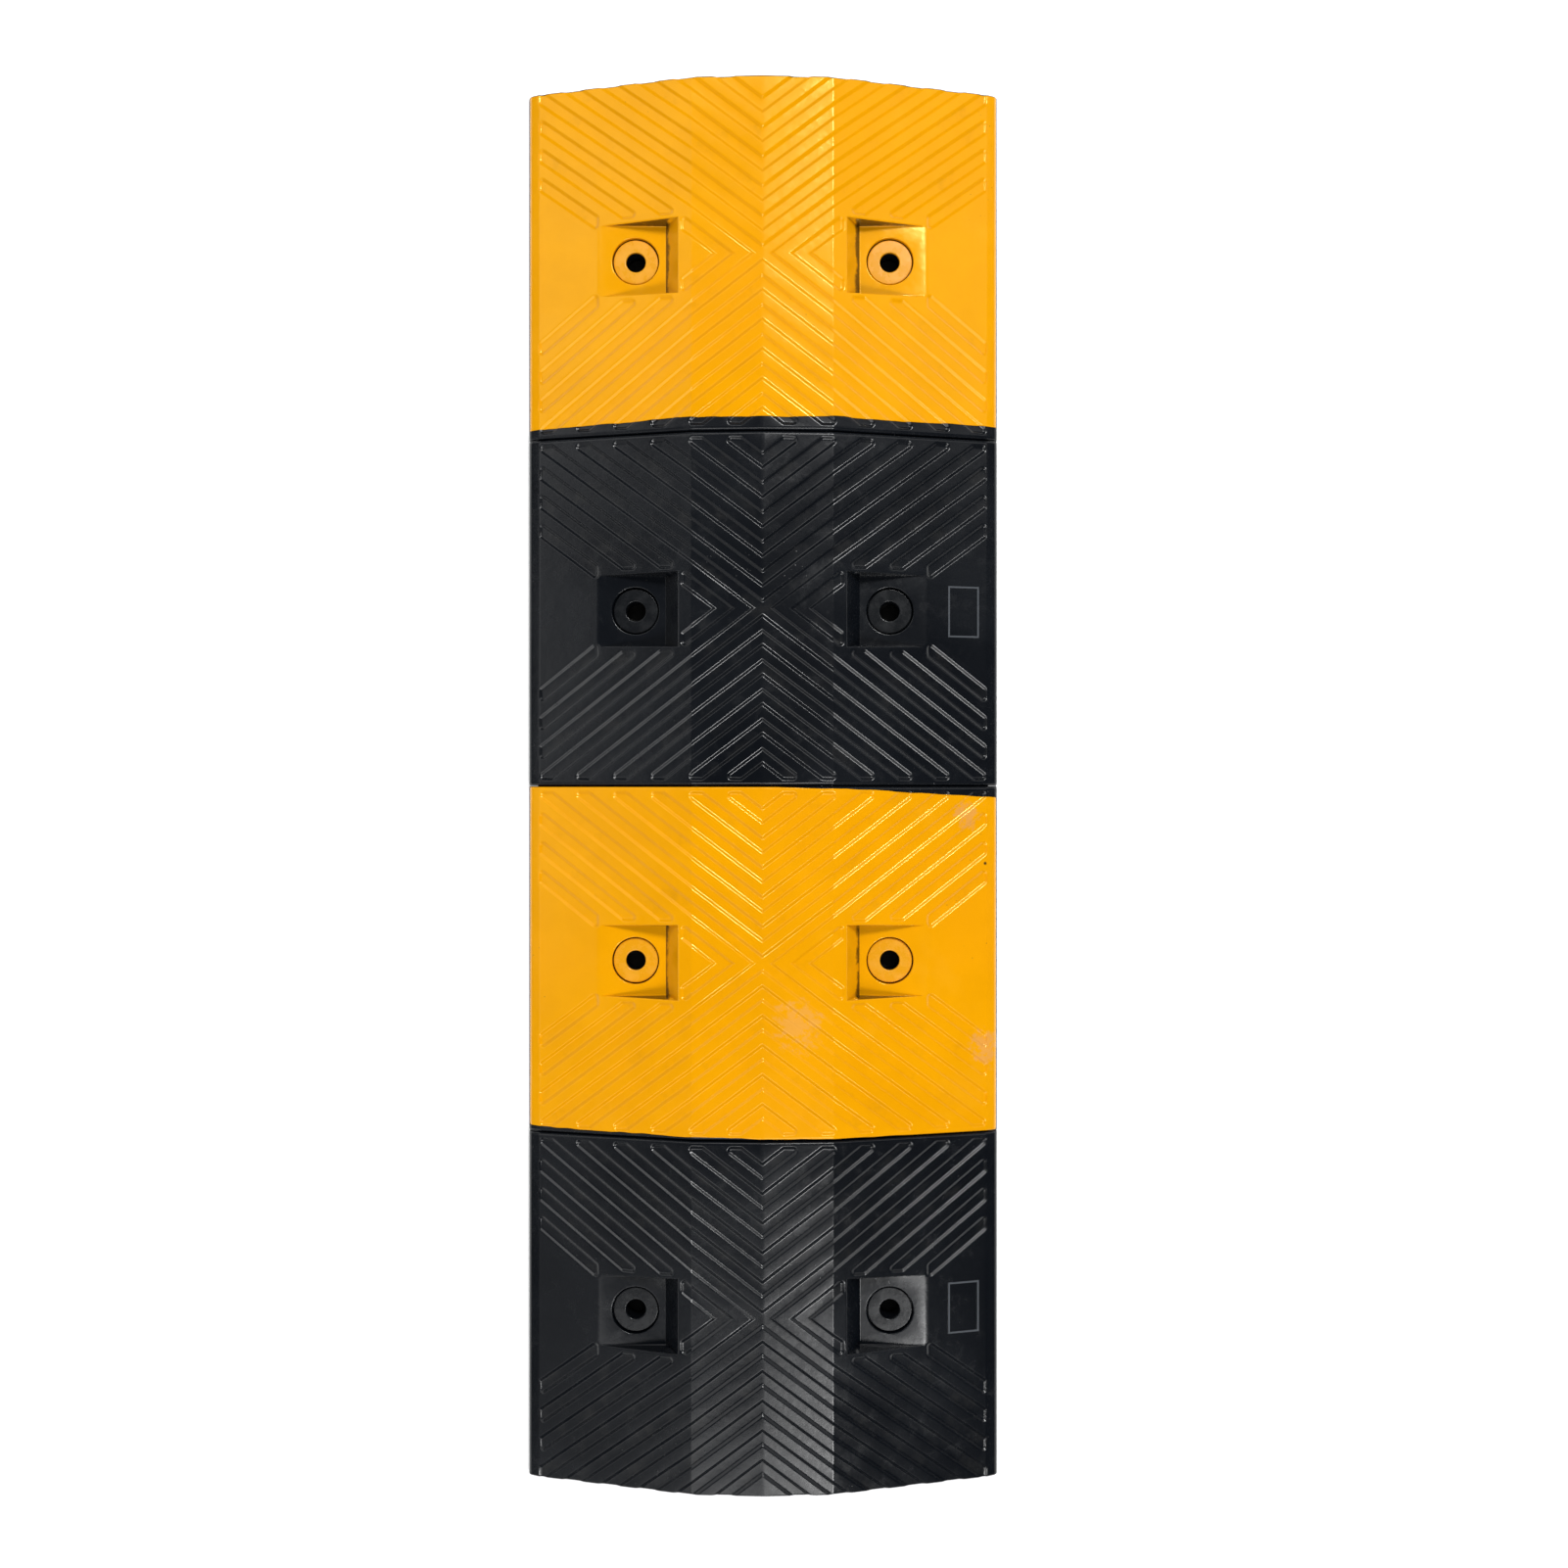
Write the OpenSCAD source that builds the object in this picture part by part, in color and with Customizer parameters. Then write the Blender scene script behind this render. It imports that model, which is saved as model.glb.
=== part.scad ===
// Rubber speed bump: four moulded modules laid end to end across a lane.
// +Z is up, the bump's length runs along Y and traffic crosses it along X.
// Two modules carry a yellow facing bonded over their black rubber body.
// The origin is under the middle of the bump, on the ground. Units are millimetres.

/* [Whole bump] */
// Overall length of the bump, along Y
length = 1000; // [800:10:1400]
// Overall width in the direction of travel, along X
width = 340; // [320:5:420]
// Height at the crest
height = 50; // [48:1:60]
// Gap between neighbouring modules at a seam
seam_gap = 0.6; // [0.4:0.1:3]

/* [Cross-section] */
// Half width of the crowned top
shoulder_x = 50; // [48:1:56]
// Drop from the crest to the shoulders
crown = 3; // [1:0.5:5]
// Width of the bevelled margin along each long edge
margin_x = 8.5; // [6:0.5:9]
// Height where the ramp meets the bevelled margin
ramp_end_z = 11; // [10:0.5:14]
// Height of the upright long edges
edge_height = 6; // [5:0.5:8]

/* [Tread grooves] */
// Depth of the grooves, straight down
groove_depth = 1.5; // [1:0.25:3]
// Spacing of the grooves along Y
groove_pitch = 20.8; // [19:0.1:23]
// Width of each groove along Y
groove_width = 10; // [6:0.5:12]
// Rise of the groove lines in Y for each unit of X
groove_slope = 0.76; // [0.7:0.01:0.8]
// Plain margin beside an inner seam
groove_seam_margin = 4.5; // [3:0.5:10]

/* [Bolt pockets] */
// Distance between the two bolt holes of a module
bolt_spacing = 182; // [178:1:186]
// Diameter of each bolt hole
bolt_hole_d = 14; // [10:0.5:16]
// Height of the flat pocket floor
pocket_floor_z = 26; // [25:0.5:27]
// Length of the pocket floor along Y
pocket_y = 50; // [44:1:52]
// Distance of the inner pocket wall from the middle, at the floor
pocket_inner_x = 69; // [68:0.5:72]
// Diameter of the counterbore
counterbore_d = 33.5; // [33:0.5:36]
// Depth of the counterbore
counterbore_depth = 5.5; // [5:0.5:6]
// Outer diameter of the washer in the counterbore
washer_d = 32; // [28:0.5:32]
// Thickness of the washer
washer_t = 2.5; // [2:0.5:3.5]

/* [Facing] */
// Thickness of the yellow facing
facing_t = 5; // [4:0.5:6]
// Height above the ground where the facing ends on the long edges
facing_base_z = 2.5; // [1.5:0.5:4]
// How much thinner the facing is on the long edges and in the pockets
facing_thin = 1; // [0:0.5:1.5]
// Black strip left beside an inner seam
facing_inset = 4.5; // [2:0.5:9]

/* [Dowels] */
// Diameter of the steel dowels that line the modules up
dowel_d = 12; // [10:1:14]
// Length of each dowel
dowel_l = 78; // [60:2:78]
// Distance of the dowels from the middle
dowel_x = 45; // [42:1:50]
// Height of the dowel axes
dowel_z = 18; // [16:1:20]
// Depth of each dowel socket
socket_depth = 40; // [40:1:45]

/* [Cored underside] */
// Least rubber left above a hollow
core_cover = 14; // [12:1:18]
// Half width of the two middle hollows
cell_x = 32; // [20:1:34]

/* [Blank plate outline] */
// Size of the raised frame along X
frame_x = 23; // [20:1:28]
// Size of the raised frame along Y
frame_y = 37; // [30:1:40]
// Height of the frame above the surface
frame_h = 0.8; // [0.5:0.1:1.5]
// Width of the frame's ridge
frame_line = 1.5; // [1:0.25:2]
// Distance of the frame from the middle
frame_at_x = 144.5; // [142:0.5:146]

/* [Hidden] */
$fn = 48;
n_mod = 4;
pitch = (length + seam_gap) / n_mod;
mod_l = pitch - seam_gap;
half_w = width / 2;
ramp_end_x = half_w - margin_x;
ramp_fall = (height - crown - ramp_end_z) / (ramp_end_x - shoulder_x);
margin_fall = (ramp_end_z - edge_height) / margin_x;
pocket_draft_x = 9;
pocket_draft_y = 1.5;
pocket_rim = 3;
pocket_outer_x = shoulder_x + (height - crown - pocket_floor_z) / ramp_fall;
plain_x = 11;
plain_y = 8;
// The grooves are counted from the one whose middle line passes through the module's centre.
groove_k0 = -3;
groove_k1 = 5;
pocket_depth = top_z(pocket_inner_x - pocket_draft_x) - pocket_floor_z;
socket_d = dowel_d + 0.2;
// The middle hollows span cell_y and the side hollows span side_cell_x and side_cell_y.
cell_y = [8, 78];
side_cell_x = [66, 112];
side_cell_y = [44, 112];
// How far a cutting shape runs past the surface that it cuts.
over = 1;

function top_z(x) = abs(x) < shoulder_x ? height - crown * abs(x) / shoulder_x
    : abs(x) < ramp_end_x ? height - crown - ramp_fall * (abs(x) - shoulder_x)
    : ramp_end_z - margin_fall * (abs(x) - ramp_end_x);
function mod_y(i) = (n_mod / 2 - 0.5 - i) * pitch;
// Modules are counted from the +Y end; 1 and 3 are faced in yellow.
function is_faced(i) = i % 2 == 0;

module_names = ["module_1", "module_2", "module_3", "module_4"];
facing_names = ["facing_1", "", "facing_3", ""];
washer_names = [for (i = [0 : n_mod - 1]) for (s = [0 : 1]) str("washer_", i + 1, s == 0 ? "a" : "b")];
dowel_names = [for (i = [0 : n_mod - 2]) for (s = [0 : 1]) str("dowel_", i + 1, i + 2, s == 0 ? "a" : "b")];

// The bump's cross-section, lowered by drop and narrowed by trim on each side.
module section(drop, trim) {
    x1 = half_w - trim;
    top = [x1, ramp_end_x, shoulder_x];
    polygon(concat([[-x1, 0], [x1, 0]], [for (x = top) [x, top_z(x) - drop]], [[0, height - drop]],
        [for (i = [2 : -1 : 0]) [-top[i], top_z(top[i]) - drop]]));
}

// A length of the bump from y0 to y1.
module bar(y0, y1, drop = 0, trim = 0) {
    translate([0, y1, 0]) rotate([90, 0, 0]) linear_extrude(y1 - y0) section(drop, trim);
}

// One V-shaped groove in plan, whose middle line crosses X = 0 at y = c.
module vee(c) {
    r = groove_slope * width;
    a = c - groove_width / 2;
    b = c + groove_width / 2;
    polygon([[0, a], [width, a + r], [width, b + r], [0, b], [-width, b + r], [-width, a + r]]);
}

// All the grooves of a module in plan; end_p and end_n say which ends are outer ends.
module groove_plan(end_p, end_n) {
    xm = ramp_end_x;
    yp = mod_l / 2 + (end_p ? over : -groove_seam_margin);
    yn = mod_l / 2 + (end_n ? over : -groove_seam_margin);
    rim_x = pocket_inner_x - pocket_draft_x - pocket_rim;
    rim_y = pocket_y / 2 + pocket_draft_y + pocket_rim;
    difference() {
        intersection() {
            translate([-xm, -yn]) square([2 * xm, yn + yp]);
            union() {
                for (m = [0 : 1]) mirror([0, m]) intersection() {
                    translate([-width, 0]) square([2 * width, mod_l]);
                    union() for (k = [groove_k0 : groove_k1]) vee(k * groove_pitch);
                }
            }
        }
        for (m = [0 : 1]) mirror([m, 0]) {
            translate([rim_x, -rim_y]) square([pocket_outer_x + pocket_rim - rim_x, 2 * rim_y]);
            translate([rim_x - plain_x, -plain_y]) square([plain_x + over, 2 * plain_y]);
        }
    }
}

// The space the grooves take out of a module.
module groove_cut(end_p, end_n) {
    difference() {
        linear_extrude(height + over) groove_plan(end_p, end_n);
        bar(-mod_l / 2 - 2 * over, mod_l / 2 + 2 * over, groove_depth);
    }
}

// A bolt pocket on the +X side, with every wall and the floor moved out by grow.
module pocket(grow = 0) {
    z0 = pocket_floor_z - grow;
    z1 = height + over;
    x0 = pocket_inner_x - grow;
    x1 = half_w + over;
    y0 = pocket_y / 2 + grow;
    lean_x = pocket_draft_x * (z1 - z0) / pocket_depth;
    lean_y = pocket_draft_y * (z1 - z0) / pocket_depth;
    intersection() {
        translate([0, mod_l / 2, 0]) rotate([90, 0, 0]) linear_extrude(mod_l)
            polygon([[x0, z0], [x1, z0], [x1, z1], [x0 - lean_x, z1]]);
        rotate([90, 0, 90]) linear_extrude(x1)
            polygon([[-y0, z0], [y0, z0], [y0 + lean_y, z1], [-y0 - lean_y, z1]]);
    }
}

module both_sides() {
    for (m = [0 : 1]) mirror([m, 0, 0]) children();
}

// Bolt holes with their counterbores.
module bores() {
    for (s = [-1, 1]) translate([s * bolt_spacing / 2, 0, 0]) {
        translate([0, 0, -over]) cylinder(d = bolt_hole_d, h = height);
        translate([0, 0, pocket_floor_z - counterbore_depth]) cylinder(d = counterbore_d, h = height);
    }
}

// Sockets for the dowels in both ends.
module sockets() {
    for (s = [-1, 1]) for (e = [-1, 1])
        translate([s * dowel_x, e * (mod_l / 2 - socket_depth / 2 + over), dowel_z]) rotate([90, 0, 0])
            cylinder(d = socket_d, h = socket_depth + 2 * over, center = true);
}

// One hollow with its corner at (x[0], y[0]) and a roof that leaves core_cover above it at x = roof_x.
module cell(x, y, roof_x) {
    roof = top_z(roof_x) - groove_depth - core_cover;
    translate([x[0], y[0], -over]) cube([x[1] - x[0], y[1] - y[0], roof + over]);
}

// Hollows moulded into the underside.
module cells() {
    for (m = [0 : 1]) mirror([0, m, 0]) {
        cell([-cell_x, cell_x], cell_y, cell_x);
        both_sides() cell(side_cell_x, side_cell_y, side_cell_x[1]);
    }
}

// The raised frame that surrounds a blank plate area.
module blank_frame() {
    translate([frame_at_x, 0, top_z(frame_at_x)]) rotate([0, atan(ramp_fall), 0])
        translate([0, 0, -over]) linear_extrude(frame_h + over) difference() {
            square([frame_x, frame_y], center = true);
            square([frame_x - 2 * frame_line, frame_y - 2 * frame_line], center = true);
        }
}

// A module's outer form before the bores, with pockets and grooves.
module outer_form(i) {
    difference() {
        bar(-mod_l / 2, mod_l / 2);
        groove_cut(i == 0, i == n_mod - 1);
        both_sides() pocket();
    }
}

// The slab of space taken by the facing of module i.
module facing_slab(i) {
    y0 = -mod_l / 2 + (i == n_mod - 1 ? -over : facing_inset);
    y1 = mod_l / 2 + (i == 0 ? over : -facing_inset);
    wall_t = facing_t - facing_thin;
    difference() {
        translate([-half_w - over, y0, facing_base_z]) cube([width + 2 * over, y1 - y0, height]);
        difference() {
            bar(-mod_l / 2 - 2 * over, mod_l / 2 + 2 * over, facing_t, wall_t);
            both_sides() pocket(wall_t);
        }
    }
}

// The black rubber body of module i.
module body(i) {
    color([0.03, 0.03, 0.035]) translate([0, mod_y(i), 0]) {
        difference() {
            outer_form(i);
            if (is_faced(i)) facing_slab(i);
            bores();
            sockets();
            cells();
        }
        if (!is_faced(i)) blank_frame();
    }
}

// The yellow facing of module i.
module facing(i) {
    color([1, 0.66, 0.02]) translate([0, mod_y(i), 0]) difference() {
        intersection() {
            outer_form(i);
            facing_slab(i);
        }
        bores();
    }
}

// The steel washer at the bottom of a counterbore.
module washer(i, s) {
    color(is_faced(i) ? [0.95, 0.62, 0.05] : [0.06, 0.06, 0.065])
        translate([s * bolt_spacing / 2, mod_y(i), pocket_floor_z - counterbore_depth]) difference() {
            cylinder(d = washer_d, h = washer_t);
            translate([0, 0, -over]) cylinder(d = bolt_hole_d, h = washer_t + 2 * over);
        }
}

// A dowel bridging the seam between module i and the next one.
module dowel(i, s) {
    color([0.7, 0.71, 0.73])
        translate([s * dowel_x, (mod_y(i) + mod_y(i + 1)) / 2, dowel_z]) rotate([90, 0, 0])
            cylinder(d = dowel_d, h = dowel_l, center = true);
}

for (i = [0 : n_mod - 1]) body(i);
for (i = [0, 2]) facing(i);
for (i = [0 : n_mod - 1]) for (s = [0 : 1])
    washer(i, s == 0 ? -1 : 1);
for (i = [0 : n_mod - 2]) for (s = [0 : 1])
    dowel(i, s == 0 ? -1 : 1);
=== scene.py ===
"""Looks of a rubber speed bump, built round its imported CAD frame.

Each module is meshed from its plan: the groove walls, pocket edges and creases are lines in a
triangulation of the plan, and a height function lifts every point. Lengths are in millimetres
until a mesh is made.
"""
import math

import bmesh
import bpy
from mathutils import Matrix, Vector, noise
from mathutils.geometry import delaunay_2d_cdt


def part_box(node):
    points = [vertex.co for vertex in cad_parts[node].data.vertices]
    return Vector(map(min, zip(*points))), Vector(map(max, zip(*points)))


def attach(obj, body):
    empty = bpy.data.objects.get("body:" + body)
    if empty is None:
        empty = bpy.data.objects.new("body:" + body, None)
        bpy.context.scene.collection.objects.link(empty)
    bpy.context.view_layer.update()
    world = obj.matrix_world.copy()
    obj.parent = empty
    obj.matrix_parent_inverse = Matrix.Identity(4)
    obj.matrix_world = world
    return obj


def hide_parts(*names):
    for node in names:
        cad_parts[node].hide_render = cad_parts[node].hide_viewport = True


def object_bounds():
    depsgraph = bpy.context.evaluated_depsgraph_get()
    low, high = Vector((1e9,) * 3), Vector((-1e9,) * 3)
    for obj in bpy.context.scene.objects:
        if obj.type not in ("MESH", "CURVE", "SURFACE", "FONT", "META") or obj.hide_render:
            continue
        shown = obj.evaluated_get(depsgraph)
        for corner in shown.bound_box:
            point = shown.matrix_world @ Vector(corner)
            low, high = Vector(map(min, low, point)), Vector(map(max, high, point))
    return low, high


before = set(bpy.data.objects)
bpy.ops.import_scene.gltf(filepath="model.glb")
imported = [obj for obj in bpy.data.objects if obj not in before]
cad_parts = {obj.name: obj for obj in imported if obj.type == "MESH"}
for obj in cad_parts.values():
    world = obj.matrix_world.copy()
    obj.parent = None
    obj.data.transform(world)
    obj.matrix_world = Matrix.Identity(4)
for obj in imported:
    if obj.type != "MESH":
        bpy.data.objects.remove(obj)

CAD_LO, CAD_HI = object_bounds()
MM = 0.001


def mm(value):
    return value / MM


# ---------------------------------------------------------------- sizes from the frame
MODULE_LO, MODULE_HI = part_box("module_2")
HALF_W = mm(MODULE_HI.x)
HEIGHT = mm(MODULE_HI.z)
HALF_L = mm(MODULE_HI.y - MODULE_LO.y) / 2
WASHER_LO, WASHER_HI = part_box("washer_2b")
BOLT_X = mm(WASHER_LO.x + WASHER_HI.x) / 2
SEAT_Z = mm(WASHER_LO.z)
DOWEL_LO, DOWEL_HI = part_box("dowel_12b")
DOWEL_X = mm(DOWEL_LO.x + DOWEL_HI.x) / 2
DOWEL_Z = mm(DOWEL_LO.z + DOWEL_HI.z) / 2
DOWEL_R = mm(DOWEL_HI.z - DOWEL_LO.z) / 2

# ---------------------------------------------------------------- sizes shared with the CAD
SHOULDER_X = 50.0
SHOULDER_DROP = 3.0
RAMP_END_X = HALF_W - 8.5
RAMP_END_Z = 11.0
LONG_EDGE_Z = 6.0
LOWEST_TOP = 0.5
PROFILE = [(0.0, HEIGHT), (SHOULDER_X, HEIGHT - SHOULDER_DROP), (RAMP_END_X, RAMP_END_Z),
           (HALF_W, LONG_EDGE_Z)]
CREASE_BLEND = {0.0: 2.0, SHOULDER_X: 0.4, RAMP_END_X: 0.8}     # how far each crease is rounded
GROOVE_PITCH = 20.8
GROOVE_HALF = 5.0
GROOVE_SLOPE = 0.76      # rise of a groove along Y for each step along X
GROOVE_DEPTH = 1.5
GROOVE_WALL = 1.6        # half the width of a groove's wall in plan
GROOVE_ROWS = [-1, -0.7, -0.4, 0, 0.4, 0.7, 1]       # rows of points across that wall
GROOVE_CORNER = 2.1      # radius of a groove's corners in plan, half way down its wall
SEAM_MARGIN = 4.5
POCKET_FLOOR = 26.0
POCKET_IN = 69.0
POCKET_RIM_X = 60.0
POCKET_Y = 25.0
POCKET_DRAFT_Y = 1.5
POCKET_KEEP = 3.0        # plain land round a pocket
POCKET_COLUMNS = [80, 90, 100, 108]      # rows of points along a pocket's side walls
COUNTERBORE_R = 16.75
SEAT_FILLET = 0.5
HOLE_R = 7.0
HOLE_CHAMFER = 0.6
FACING_T = 5.0
FACING_BASE = 2.5
FACING_SHELF = 4.0       # width along the long edges where the facing lies on the low black base
BODY_WALL_STEEPNESS = 8  # of the body's walls under a pocket's sides
BODY_REACH = 12.0        # how far beyond a pocket the body stays as low as its floor
FACING_LEDGE = 0.7       # how far the black base stands out from the yellow along the long edges
EDGE_FILLET = 2.5
RIM_FILLET = 1.0
BORE_FILLET = 0.8
SKIN_FILLET = 0.6
WASHER_ROUND = 0.8
END_FILLET = {"seam": 2.2, "outer": 1.4}
SOCKET_DEPTH = 40.0
SOCKET_R = DOWEL_R + 0.1  # a little play round the dowel
CELL_CORNER = 5.0
# Hollows of the underside: X range, Y range in each half, and depth.
CELLS = [(-32, 32, 8, 78, 26.0), (66, 112, 44, 112, 10.0), (-112, -66, 44, 112, 10.0)]
# Raised blank frame: size along X and Y and place of its line's middle, height and line width.
FRAME_X, FRAME_Y, FRAME_AT, FRAME_H, FRAME_LINE = 21.5, 35.5, 144.5, 0.8, 1.5
FRAME_WALL = 0.4         # width of the line's sloping sides in plan

# ---------------------------------------------------------------- looks of the rubber's surface
# Edge of each facing along a seam: distance from the seam, lean along X and bow in the middle.
FACING_EDGE = {(1, -1): (7.5, 1.0, 2.3), (3, 1): (4.2, 4.2, -4.0), (3, -1): (1.9, -1.9, -0.6)}
WAVE_STEP = 3.0          # spacing of the points along that edge
SWELL, SWELL_RATE = 1.1, 0.022       # size and cells per millimetre of the edge's slow waves
RIPPLE, RIPPLE_RATE = 0.5, 0.11      # the same for its small waves
NARROWEST_STRIP = 0.3
WALL_SHADE = 2.0         # painted shade on a pocket's steep side walls, where 1 is the dust of a groove's floor
INNER_WALL_SHADE = 0.7   # painted shade on a pocket's sloping inner wall, on the same scale
UNSHADED_END = 6.0          # stretch of a pocket's side walls without painted shade, where they run out
BORE_SHADE = 12.0        # painted shade on a counterbore's yellow wall down to its foot
OUTER_END_LINE = 1.4     # width of the dark line along a yellow outer end

# ---------------------------------------------------------------- fineness of the meshes
ROUND = [0.0, 0.25, 0.5, 0.75, 1.0]      # rows of points round a fillet
ROUND_SIDES = 56
SOCKET_SIDES = 32
ARC_STEP = math.radians(24)
GRID = 500               # steps in a millimetre to which points are rounded before they are welded
WELD = 0.006 * MM
TOUCH = 0.01             # millimetres within which a point counts as on a line
RIM_TOUCH = 0.05         # the same for a counterbore's many-sided edge
SLIVER = 1e-7            # square metres: a smaller face on an open edge is dropped
SHARP_ANGLE = math.radians(32)
NORMAL_WEIGHT = 90


# ---------------------------------------------------------------- heights
def ramp(x):
    """Height of the plain upper surface at a distance x from the middle."""
    x = abs(x)
    z = None
    for (x0, z0), (x1, z1) in zip(PROFILE, PROFILE[1:]):
        if x <= x1 + 1e-9:
            z = z0 + (z1 - z0) * (x - x0) / (x1 - x0)
            break
    for i, (xc, w) in enumerate(CREASE_BLEND.items()):
        before = -slope_after(0) if i == 0 else slope_after(i - 1)
        if abs(x - xc) < w:
            z += (slope_after(i) - before) * (w - abs(x - xc)) ** 2 / (4 * w)
    return z


def slope_after(i):
    """Slope of the upper surface between two points of its profile."""
    (x0, z0), (x1, z1) = PROFILE[i], PROFILE[i + 1]
    return (z1 - z0) / (x1 - x0)


POCKET_OUT = SHOULDER_X + (POCKET_FLOOR - PROFILE[1][1]) / slope_after(1)


def fillet(d, r):
    """Drop of a quarter-round edge of radius r at a distance d inside the edge."""
    if d >= r:
        return 0.0
    return r - math.sqrt(max(0.0, r * r - (r - max(d, 0.0)) ** 2))


def fillet_steps(r):
    """Distances inside an edge where a fillet of radius r has its rows."""
    return [r * (1 - math.sin(t * math.pi / 2)) for t in ROUND]


class Groove:
    """One straight stretch of groove in the +X +Y quarter, as a convex core with a rounded rim."""

    def __init__(self, k, y_end, x_min=None, x_max=None, y_min=None):
        c = math.cos(math.atan(GROOVE_SLOPE))
        r = GROOVE_CORNER
        far = 30.0
        x_far, y_far = HALF_W + far, HALF_L + 2 * far
        lo, hi = k * GROOVE_PITCH - GROOVE_HALF, k * GROOVE_PITCH + GROOVE_HALF
        core = [(-far, -far), (x_far, -far), (x_far, y_far), (-far, y_far)]
        sides = [(-GROOVE_SLOPE * c, c, lo * c + r), (GROOVE_SLOPE * c, -c, -hi * c + r),
                 (-1, 0, -(x_max if x_max is not None else RAMP_END_X) + r), (0, -1, -y_end + r)]
        if x_min is not None:
            sides.append((1, 0, x_min + r))
        if y_min is not None:
            sides.append((0, 1, y_min + r))
        for nx, ny, off in sides:
            core = clip(core, nx, ny, off)
        self.core = core

    def outside(self, x, y):
        """Distance from the middle of the groove's wall, negative inside the groove."""
        return distance_to(self.core, x, y) - GROOVE_CORNER

    def ring(self, d):
        """The outline at a distance d from the middle of the wall, kept to the quarter."""
        points = offset_ring(self.core, GROOVE_CORNER + d)
        return clip(clip(clip(points, 1, 0, 0.0), 0, 1, 0.0), 0, -1, -HALF_L - 5)


def clip(points, nx, ny, off):
    """The part of a convex outline where nx*x + ny*y >= off."""
    kept = []
    for i, p in enumerate(points):
        q = points[(i + 1) % len(points)]
        dp, dq = nx * p[0] + ny * p[1] - off, nx * q[0] + ny * q[1] - off
        if dp >= 0:
            kept.append(p)
        if dp * dq < 0:
            t = dp / (dp - dq)
            kept.append((p[0] + t * (q[0] - p[0]), p[1] + t * (q[1] - p[1])))
    return kept


def distance_to(points, x, y):
    """Distance from a point to a convex outline, negative inside it."""
    inside, nearest = True, 1e9
    deepest = -1e9
    for i, (x0, y0) in enumerate(points):
        x1, y1 = points[(i + 1) % len(points)]
        ex, ey = x1 - x0, y1 - y0
        length = math.hypot(ex, ey)
        if length < 1e-9:
            continue
        side = ((x - x0) * ey - (y - y0) * ex) / length
        if side > 0:
            inside = False
        deepest = max(deepest, side)
        t = max(0.0, min(1.0, ((x - x0) * ex + (y - y0) * ey) / (length * length)))
        nearest = min(nearest, math.hypot(x - x0 - t * ex, y - y0 - t * ey))
    return deepest if inside else nearest


def offset_ring(points, r):
    """A convex outline grown by r, with arcs at its corners."""
    made = []
    n = len(points)
    for i in range(n):
        a, b, c = points[i - 1], points[i], points[(i + 1) % n]
        t0 = math.atan2(b[1] - a[1], b[0] - a[0]) - math.pi / 2
        t1 = math.atan2(c[1] - b[1], c[0] - b[0]) - math.pi / 2
        turn = (t1 - t0) % (2 * math.pi)
        steps = max(1, round(turn / ARC_STEP))
        for s in range(steps + 1):
            t = t0 + turn * s / steps
            made.append((b[0] + r * math.cos(t), b[1] + r * math.sin(t)))
    return made


def quarter_grooves(end):
    """The groove stretches of a quarter module whose end is a seam or an outer end."""
    past_end = 20
    y_end = HALF_L - SEAM_MARGIN if end == "seam" else HALF_L + past_end
    rim_x = POCKET_RIM_X - POCKET_KEEP
    rim_y = POCKET_Y + POCKET_DRAFT_Y + POCKET_KEEP
    out_x = POCKET_OUT + POCKET_KEEP
    made = [Groove(k, y_end) for k in range(0, 6)]
    made.append(Groove(-1, y_end, x_max=rim_x))
    made.append(Groove(-1, y_end, y_min=rim_y))
    made.append(Groove(-2, y_end, y_min=rim_y))
    made.append(Groove(-3, y_end, x_min=out_x))
    return made


GROOVES = {end: quarter_grooves(end) for end in ("seam", "outer")}


def pocket_rim_y(x):
    """Half width of the pocket at its rim, which narrows as the wall gets lower."""
    share = max(0.0, (ramp(x) - POCKET_FLOOR) / (ramp(POCKET_RIM_X) - POCKET_FLOOR))
    return POCKET_Y + POCKET_DRAFT_Y * share


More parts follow.
